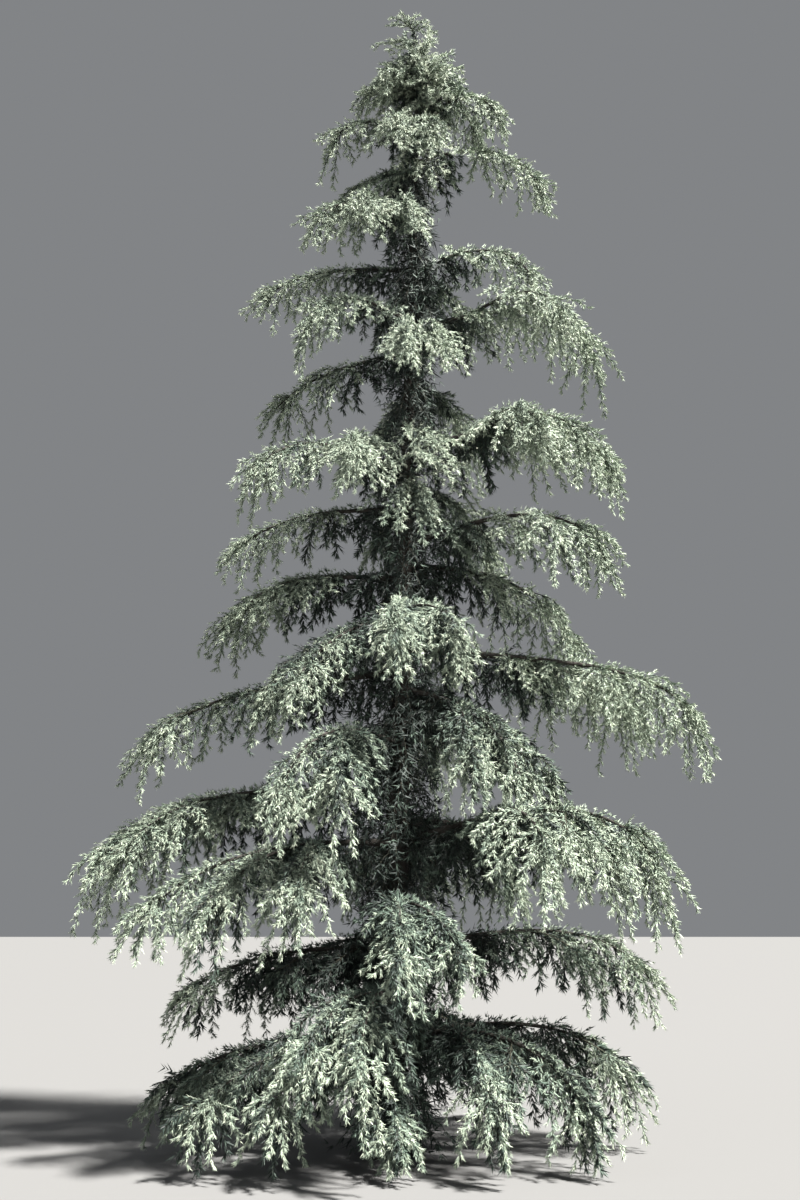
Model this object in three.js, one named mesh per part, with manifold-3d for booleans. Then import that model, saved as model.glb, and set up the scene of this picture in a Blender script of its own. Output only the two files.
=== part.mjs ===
// A weeping deodar cedar, rooted in level ground: one trunk, its main boughs, and the hanging
// foliage that each bough carries. Millimetres, +Z up. The origin is the middle of the flat cut
// under the trunk. +X is to the right and -Y towards the viewer in the front view.
// Bearings are in degrees seen from above, from +X (0) towards +Y (90). Slopes are in degrees
// above the horizontal.

import * as THREE from "three";
import Module from "manifold-3d";

const wasm = await Module();
wasm.setup();

// Trunk
const TRUNK_HEIGHT = 8420;
const TRUNK_LEAN = 222;
const TRUNK_FOOT_RADIUS = 112;
const TRUNK_TIP_RADIUS = 10;
const TRUNK_TAPER = 0.92;
const FLARE_DEPTH = 62;
const FLARE_HEIGHT = 210;
const ROOT_LOBES = 5;
const LOBE_DEPTH = 0.3;
const TRUNK_SIDES = 20;
const TRUNK_RINGS = [0, 60, 130, 240, 500, 1200, 2300, 3600, 5000, 6400, 7500, TRUNK_HEIGHT];

// Limbs: where a bare bough ends, where it forks, and how thick and how finely it is bent
const LIMB_SHARE = 0.25;
const FORK_SHARE = 0.29;
const LIMB_SIDES = 6;
const TWIG_SIDES = 3;
const LIMB_THICKNESS = 0.0115;
const THICKEST_SHARE = 0.62;
const TIP_RADIUS = 4;
const LEADER_SHRINK = 0.86;
const FORK_THINNING = 0.78;
const SEGMENT_LENGTH = 520;
const PATH_STRIDES = 8;

// Side twigs: they turn off the longer leaders, first to one side and then to the other
const TWIG_LENGTH = 330;
const TWIG_TURN = 56;
const TWIG_TURN_VARIETY = 0.3;
const TWIG_SLOPE = -22;
const TWIG_THICKNESS = 0.024;
const THICKEST_TWIG_SHARE = 0.7;
const TWIG_CHANCE = 0.22;
const OUTERMOST_TWIG = 0.75;
const SHORTEST_LEADER_WITH_TWIGS = 1500;

// Sprays of needles: toothed blades with one narrow root, like a hand with drooping fingers
const SPRAY_LENGTH = 470;
const SPRAY_WIDTH = 460;
const SPRAY_THICKNESS = 24;
const SPRAY_SCALE = 0.6;
const SPRAY_SCALE_PER_LENGTH = 1 / 4200;
const SIZES_TRIED = [1, 1, 0.9, 0.9, 0.8, 0.8, 0.7, 0.7, 0.6, 0.52];
const FINGERS = 4;
const OUTER_FINGER = 0.5;
const FINGER_VARIETY = 0.2;
const NOTCH_SHARE = 0.5;
const BELLY_SHARE = 0.45;

// How the sprays sit: hanging under a leader, out to its sides, at a twig's tip, at the leader's tip
const LEAFLESS_SHARE = 0.12;
const HANGING = { place: 0.5, turn: 60, lean: 0.22, variety: 0.6 };
const SIDEWAYS = { places: [0.15, 0.75], follow: 0.6, droop: 42, steepest: -80, scale: 1.1 };
const ON_TWIG = { place: 0.95, droop: 20 };
const AT_END = { place: 0.9, droop: 12, scale: 0.85 };
const SPRAY_TWIST = 70;

// Clearances
const GAP = 0.3;
const CLEARANCE = 2;
const GROUND_CLEARANCE = 60;
const SPACE_DROP = 150;
const SPACE_POINTS = 16;
const SMOOTHING = 0.02;

const SEED = 2.9;

const BARK = { color: 0x4a4038, roughness: 0.92, metalness: 0 };
const NEEDLES = { color: 0x8fa39a, roughness: 0.7, metalness: 0 };

// Each row is one bough with its mass of foliage. height is where it leaves the trunk. Its slope
// eases from the first number at the trunk to the second at its tip, late where the third is
// large. fork is how many leaders it has and how far they turn off, in degrees.

// Boughs with a bare stretch at the trunk, which is a solid of its own, from the ground up
const BARE_BOUGHS = [
  { name: "skirt_right", height: 780, bearing: 6, length: 1820, bend: [7, -62, 2.6] },
  { name: "skirt_front_right", height: 760, bearing: -34, length: 1700, bend: [10, -72], fork: [2, -42] },
  { name: "skirt_front_left", height: 720, bearing: 218, length: 1620, bend: [5, -48], fork: [2, 30] },
  { name: "skirt_left", height: 700, bearing: 188, length: 1660, bend: [6, -44], fork: [2, -25] },
  { name: "hem_right", height: 1360, bearing: 12, length: 2000, bend: [8, -56, 3.2] },
  { name: "wide_right", height: 2080, bearing: -14, length: 2150, bend: [15, -92, 3], fork: [3, -52] },
  { name: "wide_front_left", height: 2080, bearing: 203, length: 1980, bend: [0, -50], fork: [3, 60] },
  { name: "wide_back", height: 2200, bearing: 60, length: 2100, bend: [8, -56], fork: [3, 68] },
  { name: "wide_left", height: 2440, bearing: 180, length: 2330, bend: [1, -60, 3], fork: [2, 13] },
  { name: "long_front_left", height: 2780, bearing: 236, length: 1620, bend: [8, -82], fork: [2, 22] },
  { name: "long_left", height: 3320, bearing: 179, length: 2030, bend: [-6, -58, 3.4] },
  { name: "long_right", height: 3500, bearing: 0, length: 2330, bend: [-5, -76, 5.5], fork: [2, 26] },
  { name: "arch_front_right", height: 5020, bearing: 2, length: 1800, bend: [20, -84, 2.8], fork: [3, -56] },
];

// Boughs with foliage right to the trunk, from the ground up
const LEAFY_BOUGHS = [
  { name: "skirt_front", height: 560, bearing: 272, length: 1080, bend: [2, -60] },
  { name: "skirt_back", height: 800, bearing: 65, length: 1800, bend: [8, -52], fork: [2, 55] },
  { name: "hem_front", height: 1020, bearing: 262, length: 1600, bend: [10, -66], fork: [3, -52] },
  { name: "hem_left", height: 1360, bearing: 168, length: 1600, bend: [0, -36] },
  { name: "hem_back", height: 1400, bearing: 95, length: 1950, bend: [4, -45], fork: [2, 46] },
  { name: "wide_front", height: 1660, bearing: 272, length: 1350, bend: [4, -68], fork: [2, 34] },
  { name: "front_right", height: 3200, bearing: 345, length: 1480, bend: [-14, -72, 1.5], fork: [3, -62] },
  { name: "long_back", height: 3200, bearing: 58, length: 1900, bend: [4, -58], fork: [3, 70] },
  { name: "high_front", height: 3620, bearing: 268, length: 1250, bend: [16, -84], fork: [2, 42] },
  { name: "high_front_left", height: 3760, bearing: 204, length: 1350, bend: [-18, -58, 1.5], fork: [2, 24] },
  { name: "high_back", height: 3950, bearing: 72, length: 1600, bend: [6, -60], fork: [2, 62] },
  { name: "high_left", height: 4020, bearing: 174, length: 1480, bend: [6, -56], fork: [2, 20] },
  { name: "high_back_right", height: 4120, bearing: 26, length: 1700, bend: [6, -70] },
  { name: "arch_right", height: 4280, bearing: -12, length: 1690, bend: [17, -78, 2.7] },
  { name: "arch_left", height: 4560, bearing: 181, length: 1330, bend: [1, -42] },
  { name: "arch_back", height: 4750, bearing: 58, length: 1450, bend: [10, -60], fork: [2, 70] },
  { name: "arch_front_left", height: 4840, bearing: 208, length: 1420, bend: [18, -68], fork: [2, 60] },
  { name: "sweep_back", height: 5600, bearing: 60, length: 1150, bend: [10, -60], fork: [2, 70] },
  { name: "sweep_left", height: 5850, bearing: 172, length: 1150, bend: [-7, -48] },
  { name: "sweep_front", height: 5850, bearing: 268, length: 900, bend: [14, -82], fork: [2, 38] },
  { name: "sweep_right", height: 6050, bearing: 6, length: 1660, bend: [17, -86, 3], fork: [2, -46] },
  { name: "sweep_front_left", height: 6100, bearing: 213, length: 1080, bend: [16, -80] },
  { name: "upper_right", height: 6520, bearing: -14, length: 1180, bend: [26, -82, 1.7] },
  { name: "upper_left", height: 6550, bearing: 176, length: 1230, bend: [6, -38] },
  { name: "upper_back", height: 6550, bearing: 62, length: 980, bend: [15, -60], fork: [2, 66] },
  { name: "upper_front", height: 6920, bearing: 205, length: 960, bend: [20, -74], fork: [3, 98] },
  { name: "tip_back", height: 7450, bearing: 150, length: 780, bend: [12, -56], fork: [2, -84] },
  { name: "tip_right", height: 7520, bearing: 0, length: 1180, bend: [20, -78, 1.8] },
  { name: "tip_front", height: 7660, bearing: 252, length: 620, bend: [20, -80], fork: [2, 50] },
  { name: "tip_left", height: 7800, bearing: 186, length: 740, bend: [18, -66] },
  { name: "top_right", height: 8020, bearing: -8, length: 740, bend: [20, -72], fork: [2, 50] },
  { name: "top_left", height: 8230, bearing: 172, length: 480, bend: [24, -74], fork: [2, 70] },
  { name: "nodding_top", height: TRUNK_HEIGHT, bearing: 240, length: 380, bend: [88, -30, 2.6] },
];

const BOUGHS = [...BARE_BOUGHS, ...LEAFY_BOUGHS].map((row, index) => {
  const [rise, nod, hold = 2] = row.bend;
  return { index, bare: index < BARE_BOUGHS.length, fork: [1, 0], ...row, rise, nod, hold };
});

const UP = new THREE.Vector3(0, 0, 1);
const { degToRad, lerp } = THREE.MathUtils;

// A repeatable number from 0 to 1 for a list of whole numbers: the seed of every turn and length.
function chance(...keys) {
  const weights = [12.9898, 78.233, 37.719, 9.151, 53.47, 27.173, 4.581];
  const mixed = keys.reduce((sum, key, i) => sum + (key + 1) * weights[i], SEED);
  const scaled = Math.sin(mixed) * 43758.5453;
  return scaled - Math.floor(scaled);
}

// A number within the given share either side of 1
function vary(share, ...keys) {
  return 1 + share * (2 * chance(...keys) - 1);
}

// Solids

function solidOf(geometry) {
  return new wasm.Manifold(
    new wasm.Mesh({
      numProp: 3,
      vertProperties: new Float32Array(geometry.getAttribute("position").array),
      triVerts: new Uint32Array(geometry.index.array),
    }),
  );
}

function geometryOf(solid) {
  const { vertProperties, triVerts, numProp, numVert } = solid.getMesh();
  const points = new Float32Array(numVert * 3);
  for (let i = 0; i < numVert; i++) {
    points.set(vertProperties.subarray(i * numProp, i * numProp + 3), i * 3);
  }
  return new THREE.BufferGeometry()
    .setAttribute("position", new THREE.BufferAttribute(points, 3))
    .setIndex(new THREE.BufferAttribute(triVerts, 1));
}

function closedGeometry(points, triangles) {
  return new THREE.BufferGeometry().setFromPoints(points).setIndex(triangles);
}

// A closed skin through rings of points. A last ring of one point makes a sharp end.
function loft(rings) {
  const sides = rings[0].length;
  const triangles = [];
  for (let side = 1; side < sides - 1; side++) {
    triangles.push(0, side + 1, side);
  }
  for (let ring = 1; ring < rings.length; ring++) {
    const low = (ring - 1) * sides;
    const high = ring * sides;
    for (let side = 0; side < sides; side++) {
      const next = (side + 1) % sides;
      if (rings[ring].length === 1) {
        triangles.push(low + side, low + next, high);
      } else {
        triangles.push(low + side, low + next, high + next);
        triangles.push(low + side, high + next, high + side);
      }
    }
  }
  const last = (rings.length - 1) * sides;
  for (let side = 1; side < rings.at(-1).length - 1; side++) {
    triangles.push(last, last + side, last + side + 1);
  }
  return closedGeometry(rings.flat(), triangles);
}

// The trunk

function trunkCentre(z) {
  return new THREE.Vector3(TRUNK_LEAN * (z / TRUNK_HEIGHT) ** 1.1, 0, z);
}

function trunkRadius(z) {
  return lerp(TRUNK_FOOT_RADIUS, TRUNK_TIP_RADIUS, (z / TRUNK_HEIGHT) ** TRUNK_TAPER);
}

// Root flare: lobes that fade up the trunk
function flare(z, angle) {
  const lobes = 1 + LOBE_DEPTH * Math.cos(ROOT_LOBES * angle);
  return FLARE_DEPTH * Math.exp((-3 * z) / FLARE_HEIGHT) * lobes;
}

function trunkSolid(growth) {
  const rings = TRUNK_RINGS.map((height) => {
    const z = height === TRUNK_HEIGHT ? height + growth : height;
    const centre = trunkCentre(z);
    return Array.from({ length: TRUNK_SIDES }, (_, side) => {
      const angle = (2 * Math.PI * side) / TRUNK_SIDES;
      const radius = trunkRadius(height) + flare(height, angle) + growth;
      return new THREE.Vector3(Math.cos(angle) * radius, Math.sin(angle) * radius, 0).add(centre);
    });
  });
  return solidOf(loft(rings));
}

// Limbs: a limb bends in one upright plane. Its path has a point at each of its shares.

function heading(bearing, slope) {
  const turn = degToRad(bearing);
  const lift = degToRad(slope);
  return new THREE.Vector3(
    Math.cos(lift) * Math.cos(turn),
    Math.cos(lift) * Math.sin(turn),
    Math.sin(lift),
  );
}

function slopeAt(limb, t) {
  return limb.rise + (limb.nod - limb.rise) * t ** limb.hold;
}

function evenShares(from, segments) {
  return Array.from({ length: segments + 1 }, (_, i) => lerp(from, 1, i / segments));
}

function makeLimb(limb) {
  const path = [limb.root];
  for (let i = 1; i < limb.shares.length; i++) {
    const place = path[i - 1].clone();
    const stride = (limb.length * (limb.shares[i] - limb.shares[i - 1])) / PATH_STRIDES;
    for (let k = 0; k < PATH_STRIDES; k++) {
      const t = lerp(limb.shares[i - 1], limb.shares[i], (k + 0.5) / PATH_STRIDES);
      place.addScaledVector(heading(limb.bearing, slopeAt(limb, t)), stride);
    }
    path.push(place);
  }
  return { ...limb, path };
}

function pointAt(limb, t) {
  const next = Math.max(1, limb.shares.findIndex((share) => share >= t - 1e-9));
  const share = (t - limb.shares[next - 1]) / (limb.shares[next] - limb.shares[next - 1]);
  return limb.path[next - 1].clone().lerp(limb.path[next], share);
}

function radiusAt(limb, t) {
  return lerp(limb.thick, TIP_RADIUS, (t - limb.shares[0]) / (1 - limb.shares[0]));
}

// One corner of a ring is on top, so a three-sided limb is flat underneath
function ringAt(limb, t, sides, shift) {
  const along = heading(limb.bearing, slopeAt(limb, t));
  const across = heading(limb.bearing + 90, 0);
  const top = new THREE.Vector3().crossVectors(along, across);
  const radius = radiusAt(limb, t);
  const centre = pointAt(limb, t).addScaledVector(along, shift);
  return Array.from({ length: sides }, (_, side) => {
    const angle = Math.PI / 2 + (2 * Math.PI * side) / sides;
    return centre
      .clone()
      .addScaledVector(across, Math.cos(angle) * radius)
      .addScaledVector(top, Math.sin(angle) * radius);
  });
}

// The limb between two of its shares, pointed where it ends at its tip
function limbSolid(limb, from, to, sides, shift = 0) {
  const shares = limb.shares.filter((share) => share >= from && share <= to && share < 1);
  const rings = shares.map((share) => ringAt(limb, share, sides, share === from ? shift : 0));
  if (to === 1) rings.push([pointAt(limb, 1)]);
  return solidOf(loft(rings));
}

// A bough's leaders: the main one, and those that fork off it
function leadersOf(bough) {
  const segments = Math.max(2, Math.round((bough.length * (1 - LIMB_SHARE)) / SEGMENT_LENGTH));
  const thickest = trunkRadius(bough.height) * THICKEST_SHARE;
  const main = makeLimb({
    ...bough,
    root: trunkCentre(bough.height),
    thick: Math.min(bough.length * LIMB_THICKNESS + TIP_RADIUS, thickest),
    shares: [0, ...evenShares(LIMB_SHARE, segments)],
  });
  const [count, fan] = bough.fork;
  const leaders = [main];
  for (let i = 1; i < count; i++) {
    leaders.push(
      makeLimb({
        ...bough,
        root: pointAt(main, FORK_SHARE),
        bearing: bough.bearing + (fan * i) / (count - 1),
        length: bough.length * LEADER_SHRINK ** i,
        thick: radiusAt(main, FORK_SHARE) * FORK_THINNING,
        shares: evenShares(FORK_SHARE, segments),
      }),
    );
  }
  return leaders;
}

// A straight side twig that leaves its leader at a share of its length
function twigOf(leader, t, bearing, length) {
  return makeLimb({
    root: pointAt(leader, t),
    bearing,
    length,
    rise: TWIG_SLOPE,
    nod: TWIG_SLOPE,
    hold: 1,
    thick: Math.min(TIP_RADIUS + length * TWIG_THICKNESS, radiusAt(leader, t) * THICKEST_TWIG_SHARE),
    shares: [0, 1],
  });
}

// A spray grows from its root along its axis and spreads to both sides of it. It is thickest at
// its middle and sharp all round its rim, and its fingers stop above the ground.
function sprayOf(root, axis, across, size, keys) {
  const side = across.clone().projectOnPlane(axis).normalize();
  const front = new THREE.Vector3().crossVectors(side, axis).setLength(SPRAY_THICKNESS / 2);
  const place = (u, v) => {
    const point = root.clone().addScaledVector(side, u * SPRAY_WIDTH * size);
    point.addScaledVector(axis, v * SPRAY_LENGTH * size);
    const fall = root.z - point.z;
    const room = root.z - GROUND_CLEARANCE;
    return fall > room ? point.lerp(root, 1 - room / fall) : point;
  };
  const tips = Array.from({ length: FINGERS }, (_, i) => {
    const swell = Math.sin((Math.PI * i) / (FINGERS - 1));
    const reach = lerp(OUTER_FINGER, 1, swell) * vary(FINGER_VARIETY, ...keys, i + 3);
    return place(i / (FINGERS - 1) - 0.5, reach);
  });
  const centre = tips.reduce((sum, tip) => sum.add(tip), new THREE.Vector3()).divideScalar(FINGERS);
  const middle = root.clone().lerp(centre, BELLY_SHARE);
  const notches = tips.slice(1).map((tip, i) => {
    const between = tips[i].clone().lerp(tip, 0.5);
    return middle.clone().lerp(between, NOTCH_SHARE);
  });
  const outline = [root, ...tips.flatMap((tip, i) => (i ? [notches[i - 1], tip] : [tip]))];
  const count = outline.length;
  const triangles = [];
  for (let i = 0; i < count; i++) {
    const next = (i + 1) % count;
    triangles.push(next, i, count, i, next, count + 1);
  }
  const points = [...outline, middle.clone().add(front), middle.clone().sub(front)];
  return { made: solidOf(closedGeometry(points, triangles)), tips };
}

// A spray that hangs under a limb, broad along it
function hangingSpray(limb, t, size, keys) {
  const outward = heading(limb.bearing + HANGING.turn * (chance(...keys, 0) - 0.5), 0);
  const lean = HANGING.lean * vary(HANGING.variety, ...keys, 1);
  const axis = outward.clone().multiplyScalar(lean).sub(UP).normalize();
  return sprayOf(pointAt(limb, t), axis, outward, size, keys);
}

// A spray that grows on from a limb along a bearing and a slope
function growingSpray(limb, t, bearing, slope, size, keys) {
  const axis = heading(bearing, slope);
  const twist = degToRad(SPRAY_TWIST) * (chance(...keys, 0) - 0.5);
  const across = heading(bearing + 90, 0).applyAxisAngle(axis, twist);
  return sprayOf(pointAt(limb, t), axis, across, size, keys);
}

// Each mass keeps to its own space: the points nearer to its own leaders than to any other's,
// measured from a line a little below each leader, since foliage hangs.
const families = BOUGHS.map((bough) => leadersOf(bough));
const spines = families.map((leaders) =>
  leaders.flatMap((leader) =>
    evenShares(Math.max(leader.shares[0], LEAFLESS_SHARE), SPACE_POINTS).map((t) =>
      pointAt(leader, t).addScaledVector(UP, -SPACE_DROP),
    ),
  ),
);

function nearest(point, spine) {
  return Math.min(...spine.map((place) => place.distanceToSquared(point)));
}

function inOwnSpace(point, index) {
  const own = nearest(point, spines[index]);
  return spines.every((spine, other) => other === index || nearest(point, spine) > own);
}

function boxesMeet(a, b) {
  const below = (low, high) => low - CLEARANCE < high;
  return [0, 1, 2].every((axis) => below(a.min[axis], b.max[axis]) && below(b.min[axis], a.max[axis]));
}

function isClear(solid, others) {
  const box = solid.boundingBox();
  return others.every(
    (other) => !boxesMeet(box, other.boundingBox()) || solid.minGap(other, 2 * CLEARANCE) >= CLEARANCE,
  );
}

// The fused solid's main body, with any sealed hollow filled and any loose scrap dropped
function fuse(pieces) {
  const bodies = wasm.Manifold.union(pieces).simplify(SMOOTHING).decompose();
  return bodies.reduce((best, body) => (body.volume() > best.volume() ? body : best));
}

// The solids

const trunk = trunkSolid(0);
const clearing = trunkSolid(GAP);
const limbs = BOUGHS.filter((bough) => bough.bare).map((bough) =>
  fuse([limbSolid(families[bough.index][0], 0, LIMB_SHARE, LIMB_SIDES).subtract(clearing)]),
);

// The leaders of each mass, which start clear of the bare bough or of the trunk
const stems = BOUGHS.map((bough) =>
  families[bough.index].map((leader, order) => {
    if (order) return limbSolid(leader, leader.shares[0], 1, TWIG_SIDES);
    if (bough.bare) return limbSolid(leader, LIMB_SHARE, 1, TWIG_SIDES, GAP);
    return limbSolid(leader, 0, 1, TWIG_SIDES).subtract(clearing);
  }),
);

function foliageSolid(bough, masses) {
  const { index } = bough;
  const others = [trunk, ...limbs, ...masses, ...stems.filter((_, other) => other !== index).flat()];
  const scale = SPRAY_SCALE + bough.length * SPRAY_SCALE_PER_LENGTH;
  const growth = [];
  // The first of several turns and sizes that keeps to the space and is clear of the rest
  const firstToFit = (grow) => {
    for (let attempt = 0; attempt < SIZES_TRIED.length; attempt++) {
      const piece = grow(SIZES_TRIED[attempt] * scale, attempt);
      const inside = piece.tips.every((tip) => inOwnSpace(tip, index));
      if (inside && isClear(piece.made, others) && isClear(piece.made, growth)) return piece;
    }
    return null;
  };
  const keep = (...pieces) => pieces.forEach((piece) => piece && growth.push(piece.made));
  families[index].forEach((leader, order) => {
    const leafy = Math.max(LEAFLESS_SHARE, bough.bare ? LIMB_SHARE : 0, leader.shares[0]);
    leader.shares.slice(1).forEach((to, i) => {
      const since = Math.max(leader.shares[i], leafy);
      if (to <= since) return;
      const middle = lerp(since, to, HANGING.place);
      const keys = [index, order, i];
      keep(firstToFit((size, attempt) => hangingSpray(leader, middle, size, [...keys, 0, attempt])));
      SIDEWAYS.places.forEach((place, k) => {
        const side = (k + i + order) % 2 ? -1 : 1;
        const t = lerp(since, to, place);
        const slope = Math.max(slopeAt(leader, t) * SIDEWAYS.follow - SIDEWAYS.droop, SIDEWAYS.steepest);
        const bearing = (attempt) =>
          leader.bearing + side * TWIG_TURN * vary(TWIG_TURN_VARIETY, ...keys, 3 + k, attempt);
        const growTwig = (size, attempt) => {
          const twig = twigOf(leader, t, bearing(attempt), TWIG_LENGTH * size);
          return { made: limbSolid(twig, 0, 1, TWIG_SIDES), tips: [twig.path[1]], twig };
        };
        const roomy = leader.length > SHORTEST_LEADER_WITH_TWIGS && t < OUTERMOST_TWIG;
        const grown = roomy && chance(...keys, 8 + k) < TWIG_CHANCE ? firstToFit(growTwig) : null;
        const twig = grown?.twig;
        const spray = firstToFit((size, attempt) => {
          const sprayKeys = [...keys, 6 + k, attempt];
          return twig
            ? growingSpray(twig, ON_TWIG.place, twig.bearing, slope - ON_TWIG.droop, size, sprayKeys)
            : growingSpray(leader, t, bearing(attempt), slope, size * SIDEWAYS.scale, sprayKeys);
        });
        keep(spray, grown);
      });
    });
    const endSpray = (size, attempt) => {
      const slope = slopeAt(leader, AT_END.place) - AT_END.droop;
      return growingSpray(leader, AT_END.place, leader.bearing, slope, size * AT_END.scale, [
        index,
        order,
        attempt,
      ]);
    };
    keep(firstToFit(endSpray));
  });
  return fuse([...stems[index], ...growth]);
}

const masses = [];
BOUGHS.forEach((bough) => masses.push(foliageSolid(bough, masses)));

// Assembly: the trunk, and for each bough a group at its foot on the trunk, turned to its bearing

const tree = new THREE.Group();

function addMesh(parent, name, solid, finish) {
  const mesh = new THREE.Mesh(geometryOf(solid), new THREE.MeshStandardMaterial(finish));
  mesh.name = name;
  mesh.geometry.applyMatrix4(parent.matrixWorld.clone().invert());
  mesh.geometry.computeVertexNormals();
  parent.add(mesh);
}

addMesh(tree, "trunk", trunk, BARK);
BOUGHS.forEach((bough) => {
  const foot = new THREE.Group();
  foot.position.copy(trunkCentre(bough.height));
  foot.rotation.z = degToRad(bough.bearing);
  tree.add(foot);
  foot.updateMatrixWorld();
  if (bough.bare) addMesh(foot, `bough_${bough.name}`, limbs[bough.index], BARK);
  addMesh(foot, `foliage_${bough.name}`, masses[bough.index], NEEDLES);
});

export default tree;
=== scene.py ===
# A weeping deodar cedar in metres: bark with relief, twigs, and needles in whorls. All of it is
# grown from the same rows of limbs and by the same rule as the solids, and carried to finer twigs.
# +X is to the right and -Y towards the viewer. Bearings are in degrees from +X towards +Y, slopes
# in degrees above the level, and shares run from 0 at a limb's root to 1 at its tip.

import math

import bpy
import numpy as np
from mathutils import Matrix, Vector


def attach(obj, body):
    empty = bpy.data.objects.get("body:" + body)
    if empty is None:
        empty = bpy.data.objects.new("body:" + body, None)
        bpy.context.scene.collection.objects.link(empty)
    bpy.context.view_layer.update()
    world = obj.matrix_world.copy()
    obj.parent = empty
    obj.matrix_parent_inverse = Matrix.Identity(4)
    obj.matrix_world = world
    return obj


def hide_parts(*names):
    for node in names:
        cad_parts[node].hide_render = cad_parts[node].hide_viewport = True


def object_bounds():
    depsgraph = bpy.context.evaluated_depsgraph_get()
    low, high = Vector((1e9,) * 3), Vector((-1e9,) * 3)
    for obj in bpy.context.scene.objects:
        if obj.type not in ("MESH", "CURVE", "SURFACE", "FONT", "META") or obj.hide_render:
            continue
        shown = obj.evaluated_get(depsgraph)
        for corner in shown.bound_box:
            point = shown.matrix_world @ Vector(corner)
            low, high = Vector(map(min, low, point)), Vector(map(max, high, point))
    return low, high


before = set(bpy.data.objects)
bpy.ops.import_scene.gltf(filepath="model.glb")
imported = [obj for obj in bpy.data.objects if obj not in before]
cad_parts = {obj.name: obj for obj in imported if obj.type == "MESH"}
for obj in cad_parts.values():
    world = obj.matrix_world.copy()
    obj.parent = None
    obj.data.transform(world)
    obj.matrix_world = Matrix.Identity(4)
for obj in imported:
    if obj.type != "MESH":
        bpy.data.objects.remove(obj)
start_cube = bpy.data.objects.get("Cube")
if start_cube:
    bpy.data.objects.remove(start_cube)
CAD_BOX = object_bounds()

# The tree's rule, as in the solids

TRUNK_HEIGHT = 8.42
TRUNK_LEAN = 0.222  # to the right, at the top
TRUNK_BEND = 1.1
TRUNK_FOOT_RADIUS = 0.112
TRUNK_TIP_RADIUS = 0.010
TRUNK_TAPER = 0.92
FLARE_DEPTH = 0.062
FLARE_HEIGHT = 0.21
ROOT_LOBES = 5
LOBE_DEPTH = 0.3

LIMB_SHARE = 0.25  # of a bare bough, from the trunk to its foliage
FORK_SHARE = 0.29  # of a bough, from the trunk to where its other leaders fork off
LIMB_THICKNESS = 0.0115  # radius at the root for each metre of length
THICKEST_SHARE = 0.62  # of the trunk's radius
TIP_RADIUS = 0.004
LEADER_SHRINK = 0.86  # each leader's length to that of the one before it
FORK_THINNING = 0.78

TWIG_LENGTH = 0.33
TWIG_TURN = 56
TWIG_SLOPE = -22
TWIG_CHANCE = 0.22
OUTERMOST_TWIG = 0.75
SHORTEST_LEADER_WITH_TWIGS = 1.5

# A spray is like a hand with drooping fingers
SPRAY_LENGTH = 0.47
SPRAY_WIDTH = 0.46
SPRAY_SCALE = 0.6
SPRAY_SCALE_PER_LENGTH = 1 / 4.2
SIZES_TRIED = (1, 0.9, 0.8, 0.7, 0.6, 0.5)
FINGERS = 4
OUTER_FINGER = 0.5
FINGER_VARIETY = (0.8, 1.2)

SIDE_FOLLOW = 0.6  # how far a lateral spray follows the slope of its leader
SIDE_DROOP = 42
SIDE_STEEPEST = -80
SIDE_SCALE = 1.1
HANG_LEAN = 0.22  # how far a hanging spray leans outwards
END_PLACE = 0.9
END_DROOP = 12
END_SCALE = 0.85

LEAFLESS_SHARE = 0.12
GROUND_CLEARANCE = 0.06
SPACE_DROP = 0.15
SPACE_POINTS_ON_LEADER = 17

# name: height, bearing, length, (slope at the trunk, slope at the tip, hold), (leaders, fan)
BARE_BOUGHS = {
    "skirt_right": (0.78, 6, 1.82, (7, -62, 2.6), (1, 0)),
    "skirt_front_right": (0.76, -34, 1.70, (10, -72, 2), (2, -42)),
    "skirt_front_left": (0.72, 218, 1.62, (5, -48, 2), (2, 30)),
    "skirt_left": (0.70, 188, 1.66, (6, -44, 2), (2, -25)),
    "hem_right": (1.36, 12, 2.00, (8, -56, 3.2), (1, 0)),
    "wide_right": (2.08, -14, 2.15, (15, -92, 3), (3, -52)),
    "wide_front_left": (2.08, 203, 1.98, (0, -50, 2), (3, 60)),
    "wide_back": (2.20, 60, 2.10, (8, -56, 2), (3, 68)),
    "wide_left": (2.44, 180, 2.33, (1, -60, 3), (2, 13)),
    "long_front_left": (2.78, 236, 1.62, (8, -82, 2), (2, 22)),
    "long_left": (3.32, 179, 2.03, (-6, -58, 3.4), (1, 0)),
    "long_right": (3.50, 0, 2.33, (-5, -76, 5.5), (2, 26)),
    "arch_front_right": (5.02, 2, 1.80, (20, -84, 2.8), (3, -56)),
}
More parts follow.
